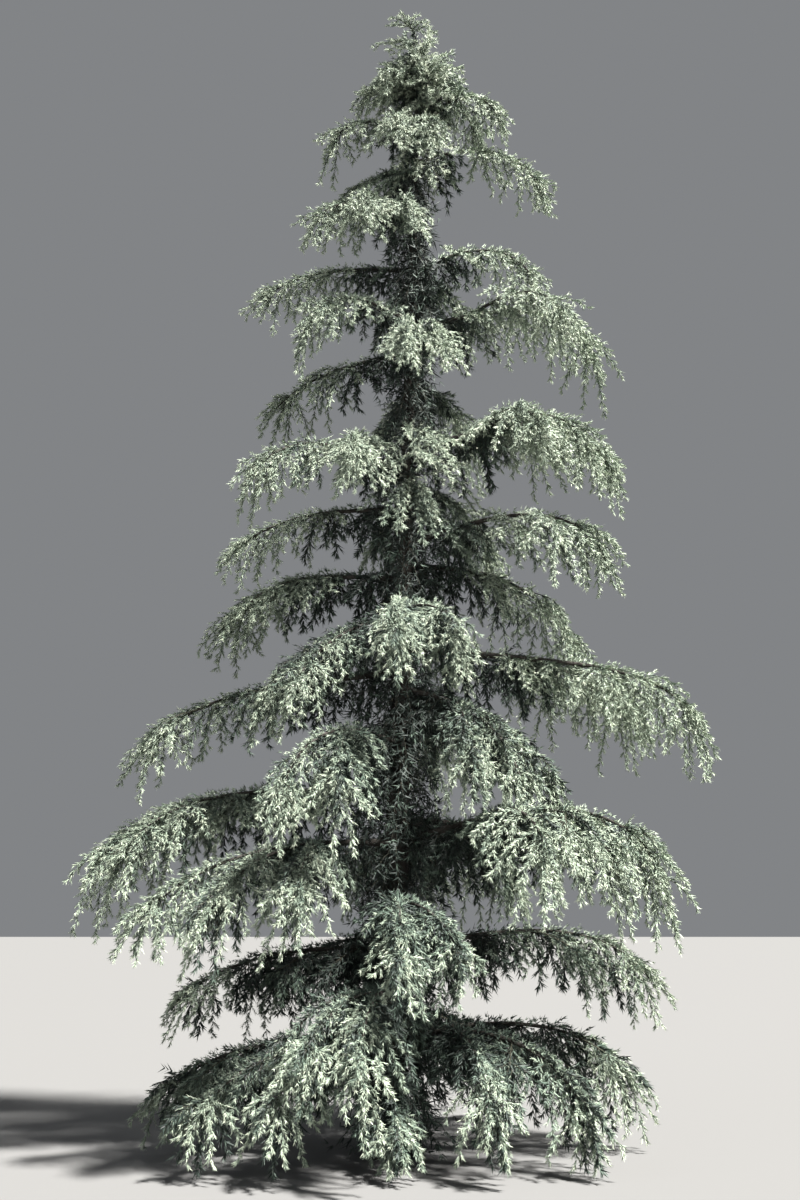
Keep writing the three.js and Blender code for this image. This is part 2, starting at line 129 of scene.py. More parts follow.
LEAFY_BOUGHS = {
    "skirt_front": (0.56, 272, 1.08, (2, -60, 2), (1, 0)),
    "skirt_back": (0.80, 65, 1.80, (8, -52, 2), (2, 55)),
    "hem_front": (1.02, 262, 1.60, (10, -66, 2), (3, -52)),
    "hem_left": (1.36, 168, 1.60, (0, -36, 2), (1, 0)),
    "hem_back": (1.40, 95, 1.95, (4, -45, 2), (2, 46)),
    "wide_front": (1.66, 272, 1.35, (4, -68, 2), (2, 34)),
    "front_right": (3.20, 345, 1.48, (-14, -72, 1.5), (3, -62)),
    "long_back": (3.20, 58, 1.90, (4, -58, 2), (3, 70)),
    "high_front": (3.62, 268, 1.25, (16, -84, 2), (2, 42)),
    "high_front_left": (3.76, 204, 1.35, (-18, -58, 1.5), (2, 24)),
    "high_back": (3.95, 72, 1.60, (6, -60, 2), (2, 62)),
    "high_left": (4.02, 174, 1.48, (6, -56, 2), (2, 20)),
    "high_back_right": (4.12, 26, 1.70, (6, -70, 2), (1, 0)),
    "arch_right": (4.28, -12, 1.69, (17, -78, 2.7), (1, 0)),
    "arch_left": (4.56, 181, 1.33, (1, -42, 2), (1, 0)),
    "arch_back": (4.75, 58, 1.45, (10, -60, 2), (2, 70)),
    "arch_front_left": (4.84, 208, 1.42, (18, -68, 2), (2, 60)),
    "sweep_back": (5.60, 60, 1.15, (10, -60, 2), (2, 70)),
    "sweep_left": (5.85, 172, 1.15, (-7, -48, 2), (1, 0)),
    "sweep_front": (5.85, 268, 0.90, (14, -82, 2), (2, 38)),
    "sweep_right": (6.05, 6, 1.66, (17, -86, 3), (2, -46)),
    "sweep_front_left": (6.10, 213, 1.08, (16, -80, 2), (1, 0)),
    "upper_right": (6.52, -14, 1.18, (26, -82, 1.7), (1, 0)),
    "upper_left": (6.55, 176, 1.23, (6, -38, 2), (1, 0)),
    "upper_back": (6.55, 62, 0.98, (15, -60, 2), (2, 66)),
    "upper_front": (6.92, 205, 0.96, (20, -74, 2), (3, 98)),
    "tip_back": (7.45, 150, 0.78, (12, -56, 2), (2, -84)),
    "tip_right": (7.52, 0, 1.18, (20, -78, 1.8), (1, 0)),
    "tip_front": (7.66, 252, 0.62, (20, -80, 2), (2, 50)),
    "tip_left": (7.80, 186, 0.74, (18, -66, 2), (1, 0)),
    "top_right": (8.02, -8, 0.74, (20, -72, 2), (2, 50)),
    "top_left": (8.23, 172, 0.48, (24, -74, 2), (2, 70)),
    "nodding_top": (8.42, 240, 0.38, (88, -30, 2.6), (1, 0)),
}
BOUGHS = {**BARE_BOUGHS, **LEAFY_BOUGHS}

# What this script grows on from the rule. A pair called variety holds the lowest and the highest
# factor of a random draw.

STEP = 0.03  # between the points of a limb's path
FEWEST_STEPS = 6

SIDE_STEP = 0.165  # along a leader, between one lateral spray and the next
SIDE_FEWEST = 3
SIDE_END = 0.97  # share of a leader where they end
SIDE_VARIETY = (0.8, 1.08)
SIDE_TURN_VARIETY = (0.7, 1.3)
SIDE_ROLL = 30  # at most, to either side
HANG_STEP = 0.26  # along a leader, between hanging sprays
HANG_FEWEST = 2
HANG_END = 0.95
HANG_VARIETY = (0.75, 1.05)
HANG_LEAN_VARIETY = (0.4, 1.6)
HANG_TURN = 30  # at most, to either side of the leader
INNER_STEP = 0.12  # along a limb near the trunk, between dark hanging sprays
INNER_FEWEST = 2
INNER_START = 0.05
INNER_OVERLAP = 0.12  # how far they go on where the foliage has begun
INNER_VARIETY = (0.75, 1.2)
INNER_LEANS = (0.1, 0.5)
INNER_TURN = 60
INNER_FINGERS = 3
FIRST_FULLNESS = 0.62  # size of a spray where the foliage begins
FULL_AFTER = 0.35  # share of a leader, from there to the first full spray

MORE_TWIGS = 1.6  # times as many side twigs as in the solids
TWIG_VARIETY = (0.7, 1)
TWIG_ARCH = 0.06
TWIG_CURVE_STEPS = 5
TWIG_DROOP = 20  # how much steeper the spray at a side twig's tip hangs
TWIG_SPRAYS = (0.3, 0.6)  # shares of a side twig where small sprays turn off it
TWIG_SPRAY_TURN = 50
TWIG_SPRAY_SCALE = 0.7
TWIG_SPRAY_FINGERS = 3

SPRAY_IN_PLACE = 0.7  # a spray keeps its size if more than this share of its fingers fits
FACING_LIFT = 0.3  # its outer face looks away from the trunk and a little upwards

CURVE_STEPS = 4
TANGENT_STEP = 0.01  # to either side of a place on a path, for its direction there
PLUME_POINTS = [0, 2, 4]  # those of a curve that its wood passes through
PLUME_ARCH = 0.28
PLUME_ARCH_VARIETY = (0.7, 1.2)
WHORL_STEP = 0.024  # along a plume, between its own whorls of needles
FEWEST_WHORLS = 3
WHORL_SIZES = (1.05, 0.8)  # at a plume's root and at its tip
# older needles and painted shade: a plume's inner whorls are a shade darker
OLD_AND_SHADED_NEEDLES = 0.7  # share of a plume up to which its own whorls are a shade darker
NEW_NEEDLES = (0.8, 0.92)  # share from which they are a shade paler, drawn for each plume
SHOOT_STEP = 0.034  # along a plume, between its side shoots
FEWEST_SHOOTS = 2
SHOOT_RANGE = (0.08, 0.97)  # shares of a plume between which they grow
SHOOT_LENGTHS = (0.108, 0.034)  # at a plume's root and at its tip
SHOOT_VARIETY = (0.7, 1.25)
SHOOT_FULL_PLUME = 0.3  # plumes shorter than this have shorter side shoots
SHOOT_TURNS = (80, -80, 5)  # round the plume, from its outer face
SHOOT_TWIST = 25  # at most, to either side
SHOOT_SPREAD = 44  # between a side shoot and its plume
SHOOT_SPREAD_VARIETY = (0.75, 1.25)
SHOOT_NOD = 0.3  # how much a side shoot is drawn downwards
LOWEST_SHOOT = GROUND_CLEARANCE * 0.7
WOODY_SHARE = 0.8  # of a plume, whose side shoots have a twig of their own
WHORLS_ON_SHOOT = 4
SHOOT_WHORL_SIZES = (1.0, 0.85)  # at a side shoot's root and at its tip
# older needles and painted shade near a side shoot's root
DARKER_DRAW = 0.55  # a whorl whose draw is above this and its share together is a shade darker
PALER_DRAW = 0.9  # one whose draw is below this times its share squared is a shade paler

DARK_ARCH = 0.2
DARK_FEWEST_WHORLS = 4
DARK_WHORL_SIZE = 1.2
DARK_SCATTER = 0.7  # how much the whorls of a dark shoot turn from it
DARK_STREWN = 0.05  # how far they stand off it
DARK_NEW_NEEDLES = (0.75, 1)

MOSS_STEP = 0.0054  # along a leader, between the whorls of its mossy top
MOSS_START = 0.06
MOSS_HEIGHT = 0.055
MOSS_FULL_BOUGH = 1.3  # boughs shorter than this have a thinner mossy top
MOSS_END = 1.06  # share at which it would have thinned out to nothing
MOSS_TAPER = 5
MOSS_SCATTER = 0.8
MOSS_UP = 0.65
MOSS_ALONG = 0.5
MOSS_LYING = 0.8  # how much its needles lie along the leader
MOSS_SIZE = 0.85
MOSS_PALER = 0.4  # chance that a whorl is a shade paler
# painted shade: near the trunk the mossy top may be deep
MOSS_DEEP_SHARE = 0.3  # of a leader, where it may be deep

TRUNK_SHOOT_START = 0.3
TRUNK_SHOOT_STEP = 0.021  # up the trunk, between the short shoots in the dark middle
TRUNK_SHOOT_LENGTHS = (0.56, 0.2)  # at the ground and at the top
TRUNK_SHOOT_VARIETY = (0.6, 1.15)
TRUNK_SHOOT_SLOPES = (-70, -25)
TRUNK_SHOOT_TURN = 137.5  # from each to the next, round the trunk
TRUNK_SHOOT_TWIST = 25
TRUNK_SHOOT_ROLL = 40
TRUNK_SHOOT_FINGERS = (-0.45, 0, 0.45)
TRUNK_SHOOT_ROUNDING = 0.5  # how much its outer fingers are shortened
TRUNK_SHOOT_SAG = 0.08
CROWN_TOP = 7.4  # above this height the shoots on the trunk are hanging plumes
CROWN_REACH = 1.5
CROWN_CHANCE = 0.6  # that a finger of such a shoot grows
PLUME_RISE = 20  # how much nearer to level a plume leaves the trunk than a dark shoot
LEADER_TUFT = 8.12  # above this height they are crowded
CROWDED_SHOOTS = 36
CROWDED_REACH = 2
CROWDED_RISE = 50
# the lit plumes are painted light: paler needles where light falls
LIT_SHOOTS = (4.6, 5.25)  # between these heights the shoots at the front right are lit plumes
LIT_BEARING = -42
LIT_BREADTH = 0.4  # cosine of the widest angle from that bearing
LIT_REACH = 2.3
LIT_SOFT_TOP = 4.85  # below this height they are a shade darker

NEEDLE_LENGTH = 0.037
NEEDLE_VARIETY = (0.75, 1.2)
NEEDLE_WIDTH = 0.0074
NEEDLE_LEAN = (14, 44)  # between a needle and its shoot
NEEDLE_TWIST = 0.3  # at most, in parts of the turn from one needle of a whorl to the next
LOWEST_NEEDLE = 0.012
BOX_MARGIN = 0.05  # how far a whorl may pass the solids' box
NEVER_ZERO = 0.001  # keeps the way out from the trunk's middle from having no length
# A needle's shading is rounded like that of a real one and of the whorl that it stands in
NORMAL_ROUND = 0.6
NORMAL_ALONG = 0.4
NORMAL_OUT = 0.25
NORMAL_UP = 0.45

PLUME_WOOD = 0.003
SHOOT_WOOD = 0.0022
TWIG_WOOD = 0.006
TWIG_THINNING = 0.45

FURROW_SHARPNESS = 3.2
FURROW_DEPTH = 0.6  # of the bark's whole relief
CRACK_SHARPNESS = 3
CRACK_DEPTH = 0.3
FLAKE_DEPTH = 0.1
BARK_WAVER = 0.35  # how far a furrow sways, in parts of a plate's width
BARK_SEEDS = 4  # that one stretch of bark uses up
TRUNK_SIDES = 72
TRUNK_RINGS = ((0, 0.4, 40), (0.4, 3, 100), (3, TRUNK_HEIGHT, 60))  # from, to, how many
TRUNK_POINT = 0.004
TRUNK_PLATES = (15, 60)  # round the trunk and up it
TRUNK_BARK_SEED = 11
TRUNK_BARK_DEPTH = 0.012
TRUNK_BARK_SHARE = 0.13  # of the radius, where that is less
TRUNK_BARK_LEVEL = 0.75  # of the relief, that lies at the trunk's radius
LIMB_SIDES = 6
LIMB_PLATES = 5  # round a limb
LIMB_FEWEST_PLATES = 4  # along it
LIMB_PLATE_RINGS = 4  # in the length of one plate
LIMB_BARK_SEED = 100
LIMB_RELIEF = 0.2
COLLAR_SWELL = 0.6
COLLAR_LENGTH = 0.05

# The shades of the foliage, dealt out by spray. They are painted light and shade: darker near the
# trunk and under a limb, where the tree's shade falls, and paler outwards, upwards and in the crown,
# where the light falls.
DEEP, MID, SOFT, LIGHT, PALE = range(5)
# paler shades for the crown, painted light
CROWN_SHADES = [SOFT, LIGHT, LIGHT, PALE]
SHADE_STEPS = (0.72, 0.98, 1.26)  # between deep, mid, soft and light
# painted light outwards and along a leader, painted shade towards the trunk
PAINTED_LIGHT_OUTWARDS = 1.6
PALER_ALONG = 0.5
# painted light upwards and in the crown
PAINTED_LIGHT_UPWARDS = (-0.35, 0.6)  # at the ground, and from PALEST_HEIGHT up
PALEST_HEIGHT = 6
PAINTED_LIGHT_CROWN = 0.4  # for each metre above CROWN_TOP, up to one
# painted shade under a limb
PAINTED_SHADE_UNDER = 0.8
SHADE_VARIETY = 0.35
TREE_REACHES = (2.0, 0.4)  # from the trunk to the outline, at the ground and at TREE_TOP
TREE_TOP = 8.6

BANDS = ("low", "middle", "high")
BOUGH_BANDS = (3, 5.5)  # heights between the bands, for boughs and for shoots on the trunk
SHOOT_BANDS = (2.9, 5.4)

RNG = np.random.default_rng(4827)
UP = np.array([0.0, 0.0, 1.0])
NEARLY_UP = UP + [0.013, 0.007, 0]  # never quite along a limb, so that a cross product is safe


def lerp(a, b, t):
    return a + (b - a) * t


def unit(v):
    return v / np.linalg.norm(v, axis=-1, keepdims=True)


def heading(bearing, slope):
    turn = np.radians(bearing)
    lift = np.radians(slope)
    return np.stack(
        np.broadcast_arrays(
            np.cos(lift) * np.cos(turn), np.cos(lift) * np.sin(turn), np.sin(lift)
        ),
        axis=-1,
    )


def spaced(count, low=0.2, high=0.8):
    """Shares in rising order, one in each of as many equal parts, at random within its part."""
    return (np.arange(count) + RNG.uniform(low, high, count)) / count


def band_at(height, limits):
    return 0 if height < limits[0] else 1 if height < limits[1] else 2


def band_of(name):
    return band_at(BOUGHS[name][0], BOUGH_BANDS)


def trunk_centre(z):
    z = np.asarray(z, dtype=float)
    return np.stack([TRUNK_LEAN * (z / TRUNK_HEIGHT) ** TRUNK_BEND, 0 * z, z], axis=-1)


def trunk_radius(z):
    return lerp(TRUNK_FOOT_RADIUS, TRUNK_TIP_RADIUS, (z / TRUNK_HEIGHT) ** TRUNK_TAPER)


class Limb:
    """A limb that bends in one upright plane, from a share of its length to its tip."""

    def __init__(self, root, bearing, length, bend, start, thick):
        self.bearing = bearing
        self.length = length
        self.bend = bend
        self.start = start
        self.thick = thick
        steps = max(FEWEST_STEPS, int(length * (1 - start) / STEP))
        self.shares = np.linspace(start, 1, steps + 1)
        middles = (self.shares[1:] + self.shares[:-1]) / 2
        strides = heading(bearing, self.slope(middles)) * (length * (1 - start) / steps)
        self.path = np.vstack([root, root + np.cumsum(strides, axis=0)])

    def slope(self, t):
        rise, nod, hold = self.bend
        return rise + (nod - rise) * np.asarray(t) ** hold

    def point(self, t):
        return np.stack([np.interp(t, self.shares, self.path[:, k]) for k in range(3)], axis=-1)

    def radius(self, t):
        return lerp(self.thick, TIP_RADIUS, (t - self.start) / (1 - self.start))


def leaders_of(row):
    """A bough's leaders: the main one, and those that fork off it."""
    height, bearing, length, bend, (count, fan) = row
    thick = min(length * LIMB_THICKNESS + TIP_RADIUS, float(trunk_radius(height)) * THICKEST_SHARE)
    main = Limb(trunk_centre(height), bearing, length, bend, 0, thick)
    leaders = [main]
    for i in range(1, count):
        leaders.append(
            Limb(
                main.point(FORK_SHARE),
                bearing + fan * i / (count - 1),
                length * LEADER_SHRINK**i,
                bend,
                FORK_SHARE,
                main.radius(FORK_SHARE) * FORK_THINNING,
            )
        )
    return leaders


FAMILIES = {name: leaders_of(row) for name, row in BOUGHS.items()}
OWNERS = {name: number for number, name in enumerate(BOUGHS)}

# Each mass's own space: the points nearer to its own leaders than to any other's
SPACE_POINTS = []
SPACE_OWNERS = []
for name, leaders in FAMILIES.items():
    for leader in leaders:
        shares = np.linspace(max(leader.start, LEAFLESS_SHARE), 1, SPACE_POINTS_ON_LEADER)
        SPACE_POINTS.append(leader.point(shares) - UP * SPACE_DROP)
        SPACE_OWNERS.append(np.full(SPACE_POINTS_ON_LEADER, OWNERS[name]))
SPACE_POINTS = np.vstack(SPACE_POINTS)
SPACE_OWNERS = np.concatenate(SPACE_OWNERS)


def in_own_space(points, name):
    distances = ((points[:, None] - SPACE_POINTS[None]) ** 2).sum(axis=2)
    return SPACE_OWNERS[distances.argmin(axis=1)] == OWNERS[name]


BOX_LOW = np.array(CAD_BOX[0]) - BOX_MARGIN
BOX_HIGH = np.array(CAD_BOX[1]) + BOX_MARGIN


def in_box(points):
    sideways = (points[:, :2] > BOX_LOW[:2]) & (points[:, :2] < BOX_HIGH[:2])
    return sideways.all(axis=1) & (points[:, 2] < BOX_HIGH[2])


# Growth: whorls and twigs are collected here for each band of the tree, and made into meshes below

whorls = {band: [] for band in range(len(BANDS))}  # rows of centre, direction, size, shade
twigs = {band: [] for band in range(len(BANDS))}  # paths with the radius at their root


def add_whorls(band, points, directions, size, shade):
    count = len(points)
    sizes = np.broadcast_to(size, count)
    shades = np.broadcast_to(shade, count)
    whorls[band].append(np.column_stack([points, directions, sizes, shades]))


def curve(start, tip, arch, steps=CURVE_STEPS):
    """A path that leaves its start outwards and arrives at its tip hanging."""
    reach = np.linalg.norm(tip - start)
    control = (start + tip) / 2 + UP * reach * arch
    t = np.linspace(0, 1, steps + 1)[:, None]
    return (1 - t) ** 2 * start + 2 * t * (1 - t) * control + t**2 * tip


def path_lengths(path):
    """How far along a path each of its points lies."""
    return np.r_[0, np.cumsum(np.linalg.norm(np.diff(path, axis=0), axis=1))]


def along(path, shares):
    """The places at some shares of a path's length, and the directions of the path there."""
    lengths = path_lengths(path)
    distances = shares * lengths[-1]

    def places_at(distances):
        return np.stack([np.interp(distances, lengths, path[:, k]) for k in range(3)], axis=-1)

    ahead = places_at(distances + TANGENT_STEP)
    behind = places_at(distances - TANGENT_STEP)
    return places_at(distances), unit(ahead - behind)


def plume(band, start, tip, facing, shade):
    """A hanging branchlet whose side shoots shorten towards its tip, like a feather. The shoots
    turn to its left, its right and its outer face in turn."""
    path = curve(start, tip, PLUME_ARCH * RNG.uniform(*PLUME_ARCH_VARIETY))
    twigs[band].append((path[PLUME_POINTS], PLUME_WOOD))
    length = path_lengths(path)[-1]
    tip_shade = min(shade + 1, PALE)
    # older needles and painted shade inside the spray are a shade darker
    old_and_shaded = max(shade - 1, DEEP)

    shares = spaced(max(FEWEST_WHORLS, int(length / WHORL_STEP)))
    places, ways = along(path, shares)
    inner_shades = np.where(shares < OLD_AND_SHADED_NEEDLES, old_and_shaded, shade)
    shades = np.where(shares > RNG.uniform(*NEW_NEEDLES), tip_shade, inner_shades)
    add_whorls(band, places, ways, lerp(*WHORL_SIZES, shares), shades)

    count = max(FEWEST_SHOOTS, int(length / SHOOT_STEP))
    shares = lerp(*SHOOT_RANGE, spaced(count))
    places, ways = along(path, shares)
    side = unit(np.cross(ways, facing))
    front = np.cross(side, ways)
    turns = np.array(SHOOT_TURNS)[np.arange(count) % len(SHOOT_TURNS)]
    turns = np.radians(turns + RNG.uniform(-SHOOT_TWIST, SHOOT_TWIST, count))[:, None]
    spread = np.radians(SHOOT_SPREAD * RNG.uniform(*SHOOT_SPREAD_VARIETY, count))[:, None]
    outwards = side * np.sin(turns) + front * np.cos(turns)
    ways = unit(ways * np.cos(spread) + outwards * np.sin(spread) - UP * SHOOT_NOD)
    reach = lerp(*SHOOT_LENGTHS, shares) * min(1, length / SHOOT_FULL_PLUME)
    reach = reach * RNG.uniform(*SHOOT_VARIETY, count)
    ends = places + ways * reach[:, None]
    ends[:, 2] = np.maximum(ends[:, 2], LOWEST_SHOOT)
    woody = shares < WOODY_SHARE
    for place, end in zip(places[woody], ends[woody]):
        twigs[band].append((np.array([place, end]), SHOOT_WOOD))

    for share in (np.arange(WHORLS_ON_SHOOT) + 0.5) / WHORLS_ON_SHOOT:
        chance = RNG.random(count)
        inner_shades = np.where(chance > DARKER_DRAW + share, old_and_shaded, shade)
        shades = np.where(chance < PALER_DRAW * share**2, tip_shade, inner_shades)
        nodding = unit(ways - UP * SHOOT_NOD * share)
        size = lerp(*SHOOT_WHORL_SIZES, share)
        add_whorls(band, lerp(places, ends, share), nodding, size, shades)


def dark_shoot(band, start, tip):
    """A short plain shoot in the dark middle of the tree, with coarse whorls strewn about it. Its
    deep and mid needles are painted shade for that dark middle.
    """
    path = curve(start, tip, DARK_ARCH)
    twigs[band].append((path[PLUME_POINTS], PLUME_WOOD))
    count = max(DARK_FEWEST_WHORLS, int(path_lengths(path)[-1] / WHORL_STEP))
    shares = spaced(count)
    places, ways = along(path, shares)
    scatter = unit(ways + RNG.normal(size=(count, 3)) * DARK_SCATTER)
    shades = np.where(shares > RNG.uniform(*DARK_NEW_NEEDLES), MID, DEEP)
    places = places + scatter * RNG.uniform(0, DARK_STREWN, (count, 1))
    add_whorls(band, places, scatter, DARK_WHORL_SIZE, shades)


def spray(name, start, axis, across, size, shade, fingers=FINGERS):
    """A spray as in the solids, whose fingers are plumes. It is made smaller until most of them
    lie in the mass's own space, and those that still don't are left out."""
    side = unit(across - axis * (across @ axis))
    facing = np.cross(side, axis)
    away = start - trunk_centre(start[2])
    if facing @ unit(away + UP * FACING_LIFT) < 0:
        facing = -facing
    slots = np.arange(fingers) / (fingers - 1)
    reaches = lerp(OUTER_FINGER, 1, np.sin(np.pi * slots))
    reaches = reaches * RNG.uniform(*FINGER_VARIETY, fingers)
    breadth = (slots - 0.5) * SPRAY_WIDTH
    for attempt in SIZES_TRIED:
        scale = size * attempt
        tips = start + side * (breadth * scale)[:, None]
        tips = tips + axis * (reaches * SPRAY_LENGTH * scale)[:, None]
        inside = in_own_space(tips, name) & in_box(tips)
        if inside.mean() > SPRAY_IN_PLACE:
            break
    for tip in tips[inside]:
        fall = start[2] - tip[2]
        room = start[2] - GROUND_CLEARANCE
        if fall > room:
            tip = lerp(tip, start, 1 - room / fall)
        plume(band_of(name), start, tip, facing, shade)


def painted_shade_at(place, t, under=False):
    """Painted shade and light: darker near the trunk and under a limb, paler outwards, along a leader
    and upwards, with a random spread.
    """
    out = np.hypot(*(place - trunk_centre(place[2]))[:2])
    reach = lerp(*TREE_REACHES, place[2] / TREE_TOP)
    # painted shade towards the trunk, painted light outwards and along a leader
    value = out / reach * PAINTED_LIGHT_OUTWARDS + t * PALER_ALONG
    value += RNG.uniform(-SHADE_VARIETY, SHADE_VARIETY)
    # painted shade under a limb
    value -= PAINTED_SHADE_UNDER if under else 0
    # painted light upwards and in the crown
    upwards = lerp(*PAINTED_LIGHT_UPWARDS, min(1, place[2] / PALEST_HEIGHT))
    value += upwards + PAINTED_LIGHT_CROWN * min(1, max(0, place[2] - CROWN_TOP))
    deep, mid, soft = SHADE_STEPS
    return DEEP if value < deep else MID if value < mid else SOFT if value < soft else LIGHT


def fullness(t, leafy):
    """The size of a spray, which is smaller where the foliage begins."""
    return lerp(FIRST_FULLNESS, 1, min(1, (t - leafy) / FULL_AFTER))


def spray_scale(name):
    return SPRAY_SCALE + BOUGHS[name][2] * SPRAY_SCALE_PER_LENGTH


def grow_twig(name, t, start, bearing, slope, size):
    """A side twig with two small sprays, where it has room. The tip, or None without room."""
    way = heading(bearing, TWIG_SLOPE)
    end = start + way * TWIG_LENGTH * spray_scale(name) * RNG.uniform(*TWIG_VARIETY)
    if not in_own_space(end[None], name)[0]:
        return None
    path = curve(start, end, TWIG_ARCH, TWIG_CURVE_STEPS)
    twigs[band_of(name)].append((path, TWIG_WOOD))
    for share in TWIG_SPRAYS:
        place = along(path, np.array([share]))[0][0]
        axis = heading(bearing + RNG.choice([-1, 1]) * TWIG_SPRAY_TURN, slope)
        across = heading(bearing + 90, 0)
        small = size * TWIG_SPRAY_SCALE
        spray(name, place, axis, across, small, painted_shade_at(place, t), TWIG_SPRAY_FINGERS)
    return end


def grow_side_sprays(name, order, leader, leafy):
    """Sprays along a leader, first to one side and then to the other, some at a twig's tip."""
    count = max(SIDE_FEWEST, round(leader.length * (1 - leafy) / SIDE_STEP))
    roomy = leader.length > SHORTEST_LEADER_WITH_TWIGS
    for k, share in enumerate(spaced(count)):
        t = lerp(leafy, SIDE_END, share)
        side = -1 if (k + order) % 2 else 1
        bearing = leader.bearing + side * TWIG_TURN * RNG.uniform(*SIDE_TURN_VARIETY)
        slope = max(float(leader.slope(t)) * SIDE_FOLLOW - SIDE_DROOP, SIDE_STEEPEST)
        start = leader.point(t)
        size = spray_scale(name) * SIDE_SCALE * RNG.uniform(*SIDE_VARIETY) * fullness(t, leafy)
        if roomy and t < OUTERMOST_TWIG and RNG.random() < TWIG_CHANCE * MORE_TWIGS:
            twig_tip = grow_twig(name, t, start, bearing, slope, size)
            if twig_tip is not None:
                start = twig_tip
                slope -= TWIG_DROOP
        across = heading(bearing + 90, RNG.uniform(-SIDE_ROLL, SIDE_ROLL))
        spray(name, start, heading(bearing, slope), across, size, painted_shade_at(start, t))


def grow_hanging_sprays(name, leader, leafy):
    """Sprays that hang under a leader."""
    count = max(HANG_FEWEST, round(leader.length * (1 - leafy) / HANG_STEP))
    for share in spaced(count):
        t = lerp(leafy, HANG_END, share)
        outward = heading(leader.bearing + RNG.uniform(-HANG_TURN, HANG_TURN), 0)
        axis = unit(outward * HANG_LEAN * RNG.uniform(*HANG_LEAN_VARIETY) - UP)
        start = leader.point(t)
        size = spray_scale(name) * RNG.uniform(*HANG_VARIETY) * fullness(t, leafy)
        spray(name, start, axis, outward, size, painted_shade_at(start, t, under=True))


def grow_inner_sprays(name, leader, leafy):
    """Dark sprays that hang under a limb near the trunk. Their deep needles are painted shade."""
    inner = leafy + INNER_OVERLAP
    count = max(INNER_FEWEST, round(leader.length * inner / INNER_STEP))
    for share in spaced(count):
        start = leader.point(lerp(INNER_START, inner, share))
        outward = heading(leader.bearing + RNG.uniform(-INNER_TURN, INNER_TURN), 0)
        axis = unit(outward * RNG.uniform(*INNER_LEANS) - UP)
        size = spray_scale(name) * RNG.uniform(*INNER_VARIETY)
        spray(name, start, axis, outward, size, DEEP, INNER_FINGERS)


def grow_end_spray(name, leader):
    axis = heading(leader.bearing, float(leader.slope(END_PLACE)) - END_DROOP)
    across = heading(leader.bearing + 90, 0)
    spray(name, leader.point(END_PLACE), axis, across, spray_scale(name) * END_SCALE, LIGHT)


def grow_mossy_top(name, order, leader):
    """Short shoots all round a leader, thickest above it."""
    since = leader.start if order else MOSS_START
    count = int(leader.length * (1 - since) / MOSS_STEP)
    shares = lerp(since, 1, spaced(count, 0, 1))
    places = leader.point(shares)
    ways = heading(leader.bearing, leader.slope(shares))
    scatter = RNG.normal(size=(count, 3)) * MOSS_SCATTER
    spread = unit(scatter + UP * MOSS_UP + ways * MOSS_ALONG)
    height = MOSS_HEIGHT * min(1, BOUGHS[name][2] / MOSS_FULL_BOUGH)
    out = RNG.uniform(0, height, count) * np.minimum(1, (MOSS_END - shares) * MOSS_TAPER)
    middle = np.array([painted_shade_at(place, t) for place, t in zip(places, shares)])
    paler = RNG.random(count) < MOSS_PALER
    # painted shade near the trunk
    darkest = np.where(shares > MOSS_DEEP_SHARE, MID, DEEP)
    shades = np.clip(middle + paler, darkest, LIGHT)
    lying = unit(spread + ways * MOSS_LYING)
    add_whorls(band_of(name), places + spread * out[:, None], lying, MOSS_SIZE, shades)


def grow(name):
    """A bough's foliage."""
    for order, leader in enumerate(FAMILIES[name]):
        leafy = max(LEAFLESS_SHARE, LIMB_SHARE if name in BARE_BOUGHS else 0, leader.start)
        grow_side_sprays(name, order, leader, leafy)
        grow_hanging_sprays(name, leader, leafy)
        if order == 0:
            grow_inner_sprays(name, leader, leafy)
        grow_end_spray(name, leader)
        grow_mossy_top(name, order, leader)


def grow_trunk_shoots():
    """Short shoots up the trunk between the boughs, which fill the middle of the tree. The dark
    shoots are painted shade, and the pale plumes at the front right and in the crown are painted
    light.
    """
    heights = np.arange(TRUNK_SHOOT_START, TRUNK_HEIGHT, TRUNK_SHOOT_STEP)
    heights = np.r_[heights, np.linspace(LEADER_TUFT, TRUNK_HEIGHT, CROWDED_SHOOTS)]
    for k, height in enumerate(heights):
        band = band_at(height, SHOOT_BANDS)
        reach = lerp(*TRUNK_SHOOT_LENGTHS, height / TRUNK_HEIGHT)
        reach *= RNG.uniform(*TRUNK_SHOOT_VARIETY)
        if height > CROWN_TOP:
            reach *= CROWN_REACH if height < LEADER_TUFT else CROWDED_REACH
        bearing = TRUNK_SHOOT_TURN * k + RNG.uniform(-TRUNK_SHOOT_TWIST, TRUNK_SHOOT_TWIST)
        at_front_right = np.cos(np.radians(bearing - LIT_BEARING)) > LIT_BREADTH
        lit = LIT_SHOOTS[0] < height < LIT_SHOOTS[1] and at_front_right
        if lit:
            reach *= LIT_REACH
        rise = PLUME_RISE if height > CROWN_TOP or lit else 0
        if height > LEADER_TUFT:
            rise = CROWDED_RISE
        axis = heading(bearing, RNG.uniform(*TRUNK_SHOOT_SLOPES) + rise)
        across = heading(bearing + 90, RNG.uniform(-TRUNK_SHOOT_ROLL, TRUNK_SHOOT_ROLL))
        facing = heading(bearing, 0)
        start = trunk_centre(height)
        for u in TRUNK_SHOOT_FINGERS:
            tip = start + axis * reach * (1 - abs(u) * TRUNK_SHOOT_ROUNDING) + across * reach * u
            tip[2] = max(tip[2] - TRUNK_SHOOT_SAG, GROUND_CLEARANCE)
            # painted light for the lit plumes and the crown, painted shade for the dark shoots
            if lit:
                plume(band, start, tip, facing, SOFT if height < LIT_SOFT_TOP else LIGHT)
            elif height < CROWN_TOP:
                dark_shoot(band, start, tip)
            elif height > LEADER_TUFT or RNG.random() < CROWN_CHANCE:
                plume(band, start, tip, facing, RNG.choice(CROWN_SHADES))


for name in BOUGHS:
    grow(name)
grow_trunk_shoots()

# Meshes


